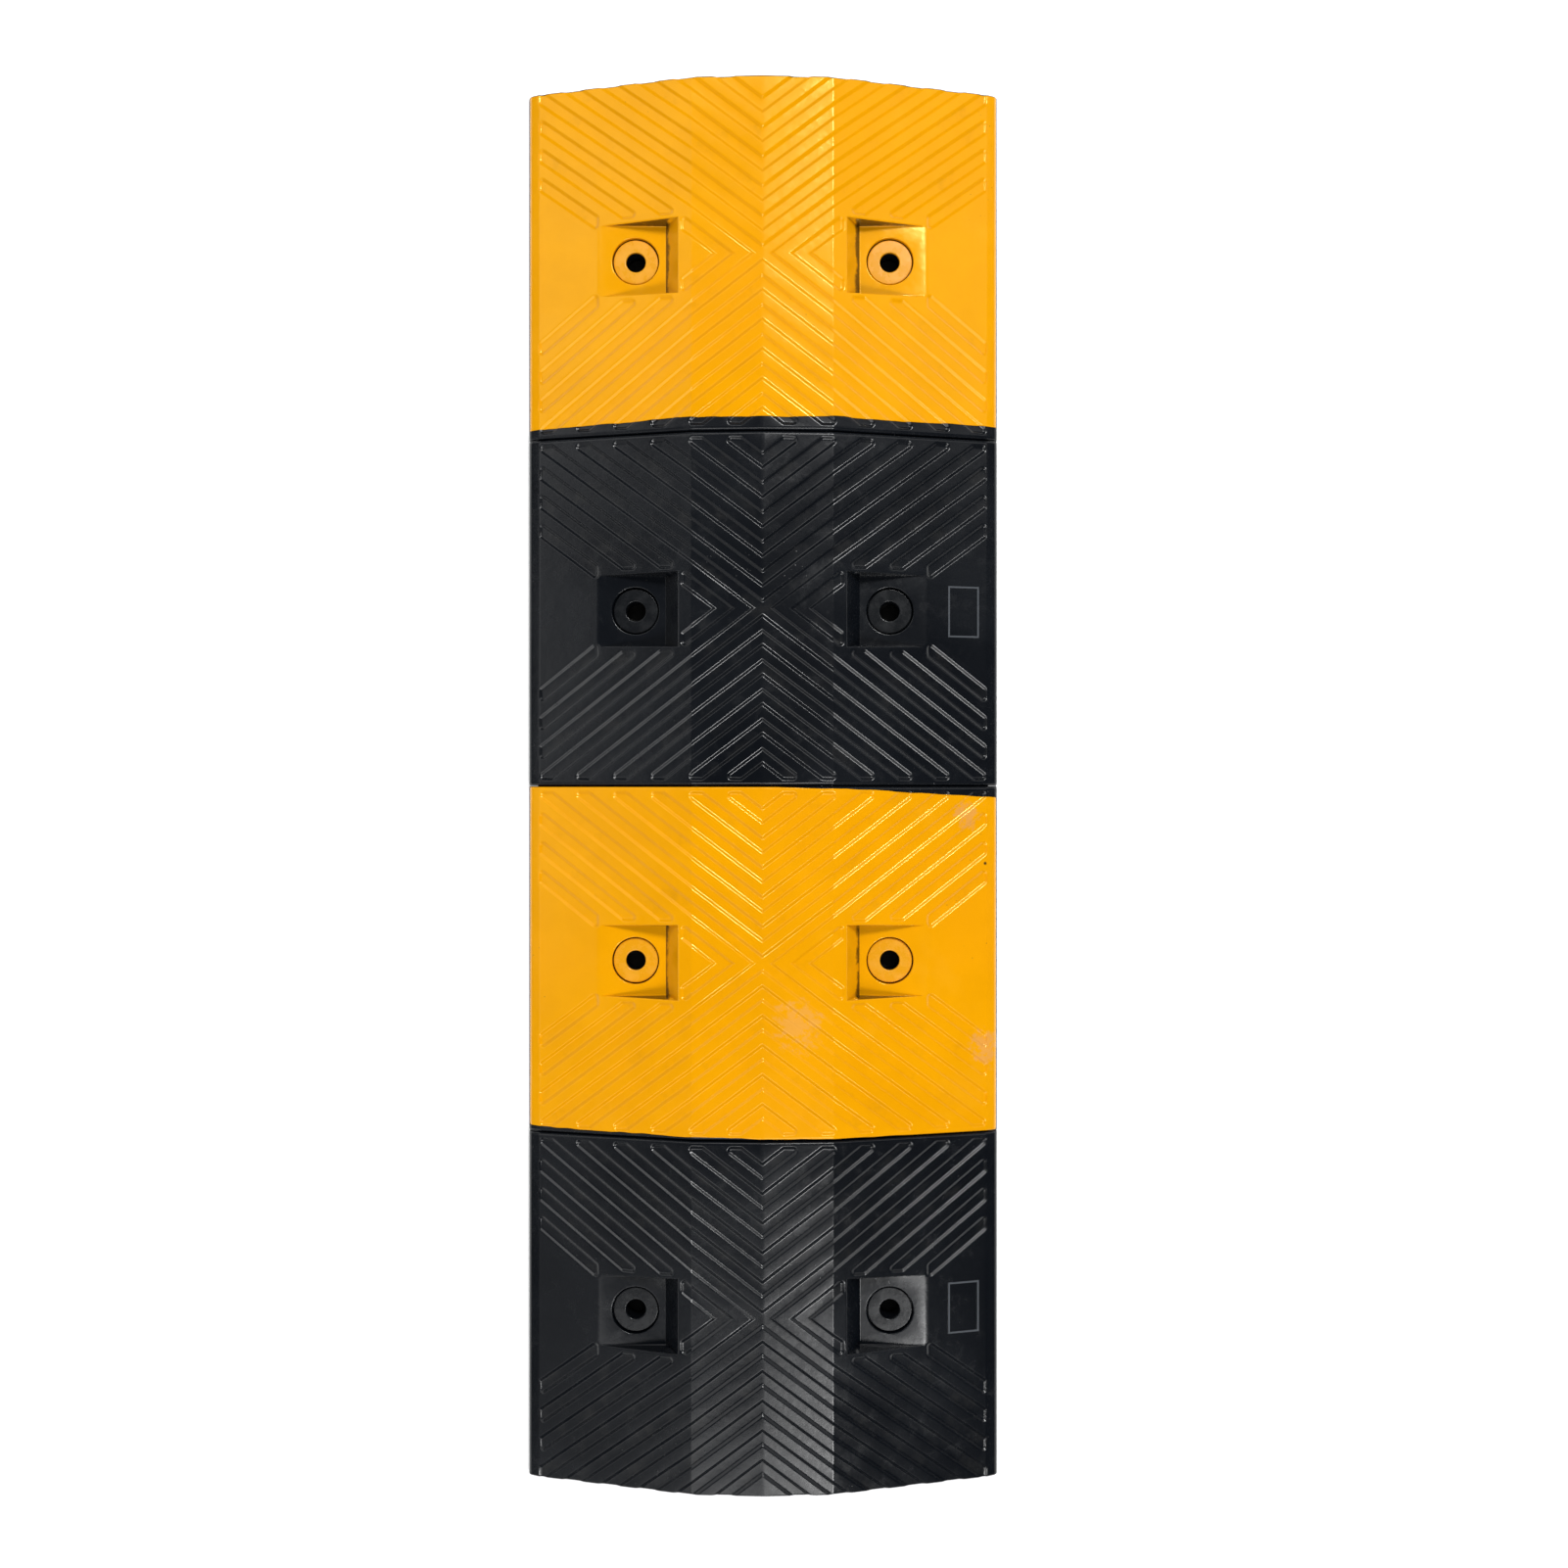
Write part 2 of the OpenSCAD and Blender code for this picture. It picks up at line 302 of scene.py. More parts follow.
class Module:
    """Height of one module's upper surface, in the module's own coordinates."""

    def __init__(self, number, end_p, end_n):
        self.number = number
        self.ends = {1: end_p, -1: end_n}
        self.faced = number % 2 == 1
        lo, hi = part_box(f"module_{number}")
        self.y = mm(lo.y + hi.y) / 2

    def end(self, y):
        """Whether the end that a point is nearer to is a seam or an outer end."""
        return self.ends[1 if y >= 0 else -1]

    def groove(self, x, y):
        """Share of the groove depth at a point, from 0 on the land to 1 on a groove's floor."""
        d = min(g.outside(abs(x), abs(y)) for g in GROOVES[self.end(y)])
        if d >= GROOVE_WALL:
            return 0.0
        if d <= -GROOVE_WALL:
            return 1.0
        return 0.5 - 0.5 * math.sin(math.pi * d / (2 * GROOVE_WALL))

    def top(self, x, y, edge_x=HALF_W):
        """Height of the finished surface. edge_x is where the long edge's fillet ends."""
        ax, ay = abs(x), abs(y)
        z = ramp(min(ax, HALF_W))
        if in_pocket_zone(ax, ay):
            return self.pocket(ax, ay, z)
        if ax < RAMP_END_X + GROOVE_WALL:
            z -= GROOVE_DEPTH * self.groove(x, y)
        if not self.faced and x > 0:
            z += FRAME_H * frame_line(x, y)
        z -= fillet(edge_x - ax, EDGE_FILLET)
        z -= fillet(HALF_L - ay, END_FILLET[self.end(y)])
        return max(z, LOWEST_TOP)

    def pocket(self, ax, ay, land):
        """Height in and just round a pocket, whose rim and foot are rounded where it is deep enough."""
        rim_y = pocket_rim_y(ax)
        depth = max(0.0, land - POCKET_FLOOR)
        r = min(RIM_FILLET, depth / 2)
        if ax <= POCKET_RIM_X or ay >= rim_y:
            gap = math.hypot(max(0.0, POCKET_RIM_X - ax), max(0.0, ay - rim_y))
            return land - fillet(gap, RIM_FILLET) * r / RIM_FILLET
        foot, rim = POCKET_FLOOR + r, land - r
        if ay > POCKET_Y or ax < POCKET_IN:
            side = (ay - POCKET_Y) / max(1e-6, rim_y - POCKET_Y) * (rim - foot)
            top = ramp(POCKET_RIM_X) - RIM_FILLET
            inner = (POCKET_IN - ax) / (POCKET_IN - POCKET_RIM_X) * (top - foot)
            return min(foot + max(side, inner), rim)
        near = min(POCKET_Y - ay, ax - POCKET_IN)
        floor = POCKET_FLOOR + fillet(near, RIM_FILLET) * r / RIM_FILLET
        return floor - fillet(math.hypot(ax - BOLT_X, ay) - COUNTERBORE_R, BORE_FILLET)

    def dust_and_shade(self, x, y):
        """How dark a point is painted: dust by the groove share, and on yellow modules painted shade on
        pocket walls and a dark line along outer ends.

        On black modules it is below zero on the raised frame, which is painted lighter, partly as wear and
        partly as a painted highlight for its glints.
        """
        ax, ay = abs(x), abs(y)
        share = self.groove(x, y) if ax < RAMP_END_X + GROOVE_WALL else 0.0
        if not self.faced:
            return share - (frame_line(x, y) if x > 0 else 0.0)
        if self.end(y) == "outer":
            # A dark line along a yellow outer end, at twice the level of a pocket wall's painted shade.
            share = max(share, 2 * WALL_SHADE * (1 - (HALF_L - ay) / OUTER_END_LINE))
        # Painted shade on a yellow module's pocket side walls and on its sloping inner wall.
        along = POCKET_RIM_X < ax < POCKET_OUT - UNSHADED_END
        if along and POCKET_Y - 0.1 < ay < pocket_rim_y(ax) + TOUCH:
            return WALL_SHADE
        if POCKET_RIM_X + 0.1 < ax < POCKET_IN + 0.1 and ay < POCKET_Y:
            return INNER_WALL_SHADE
        return share

    def skin(self, x, y):
        """Height of the facing, whose edge along a seam is rounded."""
        z = self.top(x, y, HALF_W - FACING_LEDGE)
        side = 1 if y > 0 else -1
        if self.ends[side] == "seam":
            z -= fillet(HALF_L - abs(y) - seam_wave(self, side, x), SKIN_FILLET)
        return z

    def core(self, x, y):
        """Height of the black body under the facing."""
        ax, ay = abs(x), abs(y)
        z = ramp(min(ax, HALF_W)) - FACING_T
        grow = FACING_T - 1
        if POCKET_RIM_X - grow < ax < POCKET_OUT + BODY_REACH and ay < POCKET_Y + POCKET_DRAFT_Y + grow:
            low = POCKET_FLOOR - grow
            rise = ramp(POCKET_RIM_X) - POCKET_FLOOR
            lean = (POCKET_IN - grow - ax) / (POCKET_IN - POCKET_RIM_X) * rise
            side = (ay - POCKET_Y - grow + 1) * BODY_WALL_STEEPNESS
            z = min(z, max(low, low + lean, low + side))
        return max(FACING_BASE, z) if ax < HALF_W - FACING_SHELF else FACING_BASE


def in_pocket_zone(ax, ay):
    """Whether a point is in a pocket or on the rounded rim round it."""
    beside = POCKET_RIM_X - RIM_FILLET - TOUCH < ax < POCKET_OUT + TOUCH
    return beside and ay < pocket_rim_y(ax) + RIM_FILLET


def frame_line(x, y):
    """Share of the raised blank frame's height at a point."""
    d = abs(max(abs(x - FRAME_AT) - FRAME_X / 2, abs(y) - FRAME_Y / 2))
    return max(0.0, min(1.0, (FRAME_LINE / 2 - d) / FRAME_WALL + 0.5))


# ---------------------------------------------------------------- plan of a module
class Plan:
    """Lines of the plan, and the triangles between them."""

    def __init__(self):
        self.points = []
        self.edges = []

    def line(self, points, closed=False):
        """Adds a line through points, which the triangles won't cross."""
        start = len(self.points)
        self.points += [Vector(p) for p in points]
        last = len(self.points) - 1
        self.edges += [(i, i + 1) for i in range(start, last)]
        if closed and last > start + 1:
            self.edges.append((last, start))

    def triangles(self):
        points, _, faces, *_ = delaunay_2d_cdt(self.points, self.edges, [], 0, 1e-4)
        return points, faces


def middle(points, face):
    """The middle of a triangle of the plan."""
    return (sum(points[i][axis] for i in face) / 3 for axis in (0, 1))


def around(items):
    """Each item with the next one, round a closed outline."""
    return zip(items, [*items[1:], items[0]])


def circle(x, y, r, n=ROUND_SIDES):
    """The corners of an n-sided ring, anticlockwise."""
    turns = [2 * math.pi * i / n for i in range(n)]
    return [(x + r * math.cos(t), y + r * math.sin(t)) for t in turns]


def wave_point(module, side, x):
    """Distance of the yellow facing's edge from the seam at a step along it."""
    level, lean, bow = FACING_EDGE[(module.number, side)]
    swell = SWELL * noise.noise(Vector((x * SWELL_RATE, module.number * 7.3, side * 3.1)))
    ripple = RIPPLE * noise.noise(Vector((x * RIPPLE_RATE, module.number * 5.7, side * 9.4)))
    share = x / HALF_W
    return max(NARROWEST_STRIP, level + lean * share + bow * (1 - share * share) + swell + ripple)


def seam_wave(module, side, x):
    """Distance of the facing's edge from the seam, which wanders because the skin flowed in the mould."""
    if module.ends[side] == "outer":
        return 0.0
    step = math.floor(x / WAVE_STEP)
    a, b = (wave_point(module, side, (step + i) * WAVE_STEP) for i in (0, 1))
    return a + (b - a) * (x / WAVE_STEP - step)


def plan_of(module):
    """All the lines of a module's plan where its height changes slope."""
    plan = Plan()
    y0, y1 = -HALF_L, HALF_L
    plan.line([(-HALF_W, y0), (HALF_W, y0), (HALF_W, y1), (-HALF_W, y1)], closed=True)
    columns = [0.0]
    for xc, w in CREASE_BLEND.items():
        columns += [xc + w * t for t in ((0.5, 1) if xc == 0 else (-1, -0.5, 0, 0.5, 1))]
    columns += [HALF_W - s for s in fillet_steps(EDGE_FILLET)[:-1]]
    if module.faced:
        columns += [HALF_W - FACING_LEDGE - s for s in fillet_steps(EDGE_FILLET)]
        columns += [HALF_W - FACING_SHELF, HALF_W - FACING_SHELF - 0.1]
    for x in columns:
        for s in ((1, -1) if x else (1,)):
            plan.line([(s * x, y0), (s * x, y1)])
    for side in (1, -1):
        for s in fillet_steps(END_FILLET[module.ends[side]])[:-1]:
            plan.line([(-HALF_W, side * (HALF_L - s)), (HALF_W, side * (HALF_L - s))])
        for groove in GROOVES[module.ends[side]]:
            for t in GROOVE_ROWS:
                ring = groove.ring(t * GROOVE_WALL)
                for sx in (1, -1):
                    cut = [(sx * x, side * y) for x, y in ring]
                    if len(cut) > 2:
                        plan.line(cut, closed=True)
        if module.faced and module.ends[side] == "seam":
            steps = math.ceil(HALF_W / WAVE_STEP)
            for s in (0, 0.25, SKIN_FILLET):
                plan.line([(i * WAVE_STEP, side * (HALF_L - wave_point(module, side, i * WAVE_STEP) - s))
                           for i in range(-steps, steps + 1)])
    for sx in (1, -1):
        pocket_lines(plan, sx)
    if not module.faced:
        for d in (-FRAME_WALL / 2, FRAME_WALL / 2):
            for e in (-1, 1):
                off = e * (FRAME_LINE / 2 + d)
                x0, x1 = FRAME_AT - FRAME_X / 2 - off, FRAME_AT + FRAME_X / 2 + off
                hy = FRAME_Y / 2 + off
                plan.line([(x0, -hy), (x1, -hy), (x1, hy), (x0, hy)], closed=True)
    return plan


def pocket_lines(plan, sx):
    """Rim, fillets, wall feet and counterbore of one pocket."""
    xs = [POCKET_RIM_X, POCKET_IN, *POCKET_COLUMNS, POCKET_OUT]
    quarter = [0, 0.4, 0.8, 1.2, math.pi / 2]
    for s in fillet_steps(RIM_FILLET):
        x0 = POCKET_RIM_X - s
        upper = [(sx * x, pocket_rim_y(x) + s) for x in xs]
        plan.line(upper)
        plan.line([(x, -y) for x, y in upper])
        corner = pocket_rim_y(POCKET_RIM_X)
        if s > 0:
            arc = [(sx * (POCKET_RIM_X - s * math.sin(t)), corner + s * math.cos(t)) for t in quarter]
            plan.line(arc)
            plan.line([(x, -y) for x, y in arc])
        plan.line([(sx * x0, -corner), (sx * x0, corner)])
        plan.line([(sx * POCKET_OUT, -POCKET_Y + s), (sx * (POCKET_IN + s), -POCKET_Y + s),
                   (sx * (POCKET_IN + s), POCKET_Y - s), (sx * POCKET_OUT, POCKET_Y - s)])
    for e in (1, -1):
        plan.line([(sx * POCKET_RIM_X, e * pocket_rim_y(POCKET_RIM_X)), (sx * POCKET_IN, e * POCKET_Y)])
    plan.line([(sx * POCKET_OUT, -POCKET_Y - 2), (sx * POCKET_OUT, POCKET_Y + 2)])
    for s in fillet_steps(BORE_FILLET):
        plan.line(circle(sx * BOLT_X, 0, COUNTERBORE_R + s), closed=True)


# ---------------------------------------------------------------- meshes
class Solid:
    """Collects a closed mesh, welding points that coincide."""

    def __init__(self, y):
        self.y = y
        self.verts = []
        self.faces = []
        self.index = {}
        self.dust_and_shade = []

    def v(self, x, y, z, dust_and_shade=0.0):
        """The number of the point at a place, which is made with its dust and painted shade when it is
        new.
        """
        key = (round(x * GRID), round(y * GRID), round(z * GRID))
        if key not in self.index:
            self.index[key] = len(self.verts)
            self.verts.append((x * MM, (y + self.y) * MM, z * MM))
            self.dust_and_shade.append(dust_and_shade)
        return self.index[key]

    def face(self, *corners):
        """Adds a face, leaving out repeated corners."""
        kept = []
        for c in corners:
            if c not in kept:
                kept.append(c)
        if len(kept) > 2:
            self.faces.append(kept)

    def object(self, name):
        """The finished object, welded and free of slivers."""
        mesh = bpy.data.meshes.new(name)
        mesh.from_pydata(self.verts, [], self.faces)
        attribute = mesh.attributes.new("dust_and_shade", "FLOAT", "POINT")
        attribute.data.foreach_set("value", self.dust_and_shade)
        tidy = bmesh.new()
        tidy.from_mesh(mesh)
        bmesh.ops.remove_doubles(tidy, verts=tidy.verts, dist=WELD)
        while spare := [f for f in tidy.faces if is_sliver(f)]:
            bmesh.ops.delete(tidy, geom=spare, context="FACES")
        tidy.to_mesh(mesh)
        tidy.free()
        mesh.validate()
        mesh.shade_smooth()
        mesh.set_sharp_from_angle(angle=SHARP_ANGLE)
        made = bpy.data.objects.new(name, mesh)
        bpy.context.scene.collection.objects.link(made)
        weighted = made.modifiers.new("normals", "WEIGHTED_NORMAL")
        weighted.keep_sharp = True
        weighted.weight = NORMAL_WEIGHT
        return made


def is_sliver(face):
    """Whether a face is a leftover of almost no area that stands on an open edge."""
    return face.calc_area() < SLIVER and any(edge.is_boundary for edge in face.edges)


def inside_ring(u, v, centre, r, n=ROUND_SIDES):
    """Whether a triangle's middle is inside an n-sided ring round a point and its mirror image.

    The limit is a little less than the radius, because the ring's sides are straight.
    """
    return math.hypot(abs(u) - centre[0], v - centre[1]) < r * (1 - 0.9 * (math.pi / n) ** 2)


def area_of(module, x, y):
    """Which part of the plan a point is in: a hole, the facing, the black ledge or a black strip."""
    if inside_ring(x, y, (BOLT_X, 0), COUNTERBORE_R):
        return "hole"
    if not module.faced:
        return "strip"
    for side in (1, -1):
        if side * y > HALF_L - seam_wave(module, side, x) - 1e-6:
            return "strip"
    return "ledge" if abs(x) > HALF_W - FACING_LEDGE else "facing"


def build_module(module):
    """The module's body and, on a yellow module, its facing."""
    points, faces = plan_of(module).triangles()
    body, skin = Solid(module.y), Solid(module.y)
    kinds = []
    inside = []
    for face in faces:
        x, y = middle(points, face)
        if abs(x) < HALF_W and abs(y) < HALF_L:
            inside.append(face)
            kinds.append(area_of(module, x, y))
    used = {i for face in inside for i in face}
    dust_and_shade = {i: module.dust_and_shade(*points[i]) for i in used}
    level = {"strip": {i: module.top(*points[i]) for i in used}}
    if module.faced:
        level["ledge"] = dict.fromkeys(used, FACING_BASE)
        level["facing"] = {i: module.core(*points[i]) for i in used}
        level["skin"] = {i: module.skin(*points[i]) for i in used}
    edges = {}
    for face, kind in zip(inside, kinds):
        if kind == "hole":
            continue
        body.face(*[body.v(*points[i], level[kind][i], dust_and_shade[i]) for i in face])
        if kind == "facing":
            skin.face(*[skin.v(*points[i], level["skin"][i], dust_and_shade[i]) for i in face])
            skin.face(*reversed([skin.v(*points[i], level["facing"][i]) for i in face]))
        for a, b in around(face):
            edges[(a, b)] = kind
    rim = {1: [], -1: []}
    outline = []
    for (a, b), kind in edges.items():
        other = edges.get((b, a))
        if kind == "facing" and other != "facing":
            # The yellow wall round a counterbore carries painted shade; other edges of the facing carry
            # none.
            quad = [(a, "skin"), (a, "facing"), (b, "facing"), (b, "skin")]
            skin.face(*[skin.v(*points[i], level[layer][i], BORE_SHADE if in_rim(points[i]) else 0.0)
                        for i, layer in quad])
        if other is None:
            ends = [(points[i].x, points[i].y, level[kind][i]) for i in (a, b)]
            if in_rim(points[a]) and in_rim(points[b]):
                rim[1 if points[a].x > 0 else -1].append(ends)
            else:
                outline.append(ends)
        elif other != kind and a < b:
            quad = [(a, kind), (a, other), (b, other), (b, kind)]
            body.face(*[body.v(*points[i], level[layer][i]) for i, layer in quad])
    for sx in (1, -1):
        bolt_bore(body, sx, rim[sx])
    side_walls(body, outline)
    underside(body, outline)
    return body, skin


def in_rim(p):
    """Whether a point of the plan is on the edge of a counterbore."""
    return abs(math.hypot(abs(p.x) - BOLT_X, p.y) - COUNTERBORE_R) < RIM_TOUCH


def bolt_bore(body, sx, rim):
    """Counterbore wall, its seat and the bolt hole, below a rim that is a ring of edges."""
    def ring(x, y, r, z):
        t = math.atan2(y, x - sx * BOLT_X)
        return body.v(sx * BOLT_X + r * math.cos(t), r * math.sin(t), z)
    steps = [(COUNTERBORE_R, SEAT_Z + SEAT_FILLET), (COUNTERBORE_R - SEAT_FILLET, SEAT_Z),
             (HOLE_R + SEAT_FILLET, SEAT_Z), (HOLE_R, SEAT_Z - SEAT_FILLET),
             (HOLE_R, HOLE_CHAMFER), (HOLE_R + HOLE_CHAMFER, 0.0)]
    for (ax, ay, az), (bx, by, bz) in rim:
        upper = (body.v(ax, ay, az), body.v(bx, by, bz))
        for r, z in steps:
            lower = (ring(ax, ay, r, z), ring(bx, by, r, z))
            body.face(upper[1], upper[0], lower[0], lower[1])
            upper = lower


def side_walls(body, outline):
    """Walls below the outer edge of the upper surface; the ends hold the dowel sockets."""
    for sy in (1, -1):
        edge = [e for e in outline if all(abs(p[1] - sy * HALF_L) < TOUCH for p in e)]
        plan = Plan()
        for a, b in edge:
            plan.line([(a[0], a[2]), (b[0], b[2])])
        plan.line([(-HALF_W, corner_z(edge, -1)), (-HALF_W, 0), (HALF_W, 0), (HALF_W, corner_z(edge, 1))])
        for sx in (1, -1):
            plan.line(circle(sx * DOWEL_X, DOWEL_Z, SOCKET_R, SOCKET_SIDES), closed=True)
        heights = sorted(edge, key=lambda e: min(e[0][0], e[1][0]))
        points, faces = plan.triangles()
        for face in faces:
            x, z = middle(points, face)
            in_socket = inside_ring(x, z, (DOWEL_X, DOWEL_Z), SOCKET_R, SOCKET_SIDES)
            if z < 0 or z > edge_height_at(heights, x) or in_socket:
                continue
            corners = [body.v(points[i].x, sy * HALF_L, points[i].y) for i in face]
            body.face(*(corners if sy < 0 else reversed(corners)))
        for sx in (1, -1):
            socket(body, sx, sy)
    sides = [e for e in outline if all(abs(abs(p[0]) - HALF_W) < TOUCH for p in e)]
    levels = {}
    for x, y, z in (p for e in sides for p in e):
        levels.setdefault((x > 0, round(y, 3)), set()).add(z)
    for a, b in sides:
        down = sorted((z for z in levels[(a[0] > 0, round(a[1], 3))] if z < a[2]), reverse=True)
        up = sorted(z for z in levels[(b[0] > 0, round(b[1], 3))] if z < b[2])
        column = [a, *((a[0], a[1], z) for z in (*down, 0)), *((b[0], b[1], z) for z in (0, *up)), b]
        body.face(*[body.v(*p) for p in column])


def corner_z(edge, sx):
    """Height of an end's upper edge at the long edge of the module."""
    return min((p[2] for e in edge for p in e if abs(p[0] - sx * HALF_W) < TOUCH), default=FACING_BASE)


def edge_height_at(edges, x):
    """Height of an end's upper edge at a distance x from the middle."""
    for a, b in edges:
        lo, hi = (a, b) if a[0] < b[0] else (b, a)
        if lo[0] - 1e-6 <= x <= hi[0] + 1e-6:
            t = (x - lo[0]) / max(1e-9, hi[0] - lo[0])
            return lo[2] + t * (hi[2] - lo[2])
    return 0.0


def socket(body, sx, sy):
    """A blind round socket in an end face."""
    ring = circle(sx * DOWEL_X, DOWEL_Z, SOCKET_R, SOCKET_SIDES)
    near_black = sy * (HALF_L - SOCKET_DEPTH)
    for (x0, z0), (x1, z1) in around(ring):
        quad = [body.v(x0, sy * HALF_L, z0), body.v(x1, sy * HALF_L, z1),
                body.v(x1, near_black, z1), body.v(x0, near_black, z0)]
        body.face(*(quad if sy < 0 else reversed(quad)))
    cap = [body.v(x, near_black, z) for x, z in ring]
    body.face(*(cap if sy < 0 else reversed(cap)))


def underside(body, outline):
    """The flat base, with its bolt holes and moulded hollows."""
    plan = Plan()
    for a, b in outline:
        if abs(a[1] - b[1]) < TOUCH and abs(abs(a[1]) - HALF_L) < TOUCH:
            continue
        plan.line([(a[0], a[1]), (b[0], b[1])])
    for sy in (1, -1):
        plan.line([(-HALF_W, sy * HALF_L), (HALF_W, sy * HALF_L)])
    foot_r = HOLE_R + HOLE_CHAMFER
    holes = [circle(sx * BOLT_X, 0, foot_r) for sx in (1, -1)]
    cells = [(rounded(x0, x1, sy * y0, sy * y1), z) for x0, x1, y0, y1, z in CELLS for sy in (1, -1)]
    for ring in holes + [c for c, _ in cells]:
        plan.line(ring, closed=True)
    points, faces = plan.triangles()
    for face in faces:
        x, y = middle(points, face)
        if inside_ring(x, y, (BOLT_X, 0), foot_r) or any(distance_to(c, x, y) < 0 for c, _ in cells):
            continue
        body.face(*reversed([body.v(points[i].x, points[i].y, 0) for i in face]))
    for ring, z in cells:
        for (x0, y0), (x1, y1) in around(ring):
            body.face(body.v(x1, y1, 0), body.v(x0, y0, 0), body.v(x0, y0, z), body.v(x1, y1, z))
        body.face(*reversed([body.v(x, y, z) for x, y in ring]))


def rounded(x0, x1, y0, y1):
    """A rectangle with round corners, anticlockwise."""
    r = CELL_CORNER
    y0, y1 = sorted((y0, y1))
    corners = [(x1 - r, y0 + r, -90), (x1 - r, y1 - r, 0), (x0 + r, y1 - r, 90), (x0 + r, y0 + r, 180)]
    return [(cx + r * math.cos(math.radians(a + t)), cy + r * math.sin(math.radians(a + t)))
            for cx, cy, a in corners for t in (0, 30, 60, 90)]


# ---------------------------------------------------------------- small parts
def lathe(name, x, y, profile):
    """A closed ring turned about an upright axis from a profile of (radius, height) points."""
    solid = Solid(y)
    for i in range(ROUND_SIDES):
        t0, t1 = (2 * math.pi * (i + s) / ROUND_SIDES for s in (0, 1))
        for (r0, z0), (r1, z1) in around(profile):
            corners = [(r0, z0, t0), (r0, z0, t1), (r1, z1, t1), (r1, z1, t0)]
            solid.face(*[solid.v(x + r * math.cos(t), r * math.sin(t), z) for r, z, t in corners])
    return solid.object(name)


def washer(node, name):
    """The washer in a counterbore, with rounded edges."""
    lo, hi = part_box(node)
    x, y = mm(lo.x + hi.x) / 2, mm(lo.y + hi.y) / 2
    outer, low, high = mm(hi.x - lo.x) / 2, mm(lo.z), mm(hi.z)
    arc = [(WASHER_ROUND * (1 - math.cos(t)), WASHER_ROUND * (1 - math.sin(t)))
           for t in (share * math.pi / 2 for share in ROUND)]
    profile = [(outer - across, high - down) for across, down in arc]
    profile += [(HOLE_R + across, high - down) for down, across in arc]
    profile += [(HOLE_R, low), (outer, low)]
    return lathe(name, x, y, profile)


# ---------------------------------------------------------------- materials
MIX_COLOUR_A, MIX_COLOUR_B, MIX_COLOUR_OUT = 6, 7, 2     # a Mix node's sockets for colours


class Shader:
    """A node tree being built from left to right."""

    def __init__(self, name):
        self.material = bpy.data.materials.new(name)
        self.material.use_nodes = True
        self.tree = self.material.node_tree
        self.tree.nodes.clear()
        self.output = self.add("ShaderNodeOutputMaterial")
        self.surface = self.add("ShaderNodeBsdfPrincipled")
        self.join(self.surface, "BSDF", self.output, "Surface")
        self.place = self.add("ShaderNodeTexCoord")

    def add(self, kind, **settings):
        node = self.tree.nodes.new(kind)
        for key, value in settings.items():
            setattr(node, key, value)
        return node

    def join(self, source, out, target, socket):
        self.tree.links.new(source.outputs[out], target.inputs[socket])

    def put(self, value, node, socket):
        """Sets a socket to a number or colour, or links it to a (node, output) pair."""
        if isinstance(value, tuple) and isinstance(value[0], bpy.types.Node):
            self.join(*value, node, socket)
        else:
            node.inputs[socket].default_value = value

    def noise(self, scale, detail=4.0, rough=0.55, stretch=(1, 1, 1), distortion=0.0, seed=0.0):
        """A noise over the object's own space, whose scale is in cells per metre."""
        mapping = self.add("ShaderNodeMapping")
        self.join(self.place, "Object", mapping, "Vector")
        mapping.inputs["Scale"].default_value = stretch
        mapping.inputs["Location"].default_value = (seed, 2 * seed, 0)
        node = self.add("ShaderNodeTexNoise")
        self.join(mapping, "Vector", node, "Vector")
        settings = {"Scale": scale, "Detail": detail, "Roughness": rough, "Distortion": distortion}
        for key, value in settings.items():
            node.inputs[key].default_value = value
        return node, "Fac"

    def spots(self, scale, seed):
        """Distance from the nearest of many scattered points, for specks."""
        mapping = self.add("ShaderNodeMapping")
        self.join(self.place, "Object", mapping, "Vector")
        mapping.inputs["Location"].default_value = (seed, seed, seed)
        node = self.add("ShaderNodeTexVoronoi")
        self.join(mapping, "Vector", node, "Vector")
        node.inputs["Scale"].default_value = scale
        return node, "Distance"

    def span(self, value, lo, hi, to_lo=0.0, to_hi=1.0):
        """Maps a value's range smoothly to another one, without passing its ends."""
        node = self.add("ShaderNodeMapRange", interpolation_type="SMOOTHSTEP")
        self.put(value, node, "Value")
        for key, number in (("From Min", lo), ("From Max", hi), ("To Min", to_lo), ("To Max", to_hi)):
            node.inputs[key].default_value = number
        return node, "Result"

    def math(self, operation, a, b, clamp=False):
        node = self.add("ShaderNodeMath", operation=operation, use_clamp=clamp)
        self.put(a, node, 0)
        self.put(b, node, 1)
        return node, "Value"

    def mix(self, share, a, b):
        """A colour between two others."""
        node = self.add("ShaderNodeMix", data_type="RGBA")
        self.put(share, node, "Factor")
        self.put(a, node, MIX_COLOUR_A)
        self.put(b, node, MIX_COLOUR_B)
        return node, MIX_COLOUR_OUT

    def attribute(self, name):
        return self.add("ShaderNodeAttribute", attribute_name=name), "Fac"

    def pointed(self, lo, hi):
        """Rises along convex edges, where wear shows."""
        return self.span((self.add("ShaderNodeNewGeometry"), "Pointiness"), lo, hi)

    def bump(self, layers):
        """Stacks (height, strength, distance) layers into the surface's normal."""
        last = None
        for height, strength, distance in layers:
            node = self.add("ShaderNodeBump")
            self.put(height, node, "Height")
            node.inputs["Strength"].default_value = strength
            node.inputs["Distance"].default_value = distance
            if last:
                self.join(last, "Normal", node, "Normal")
            last = node
        self.join(last, "Normal", self.surface, "Normal")


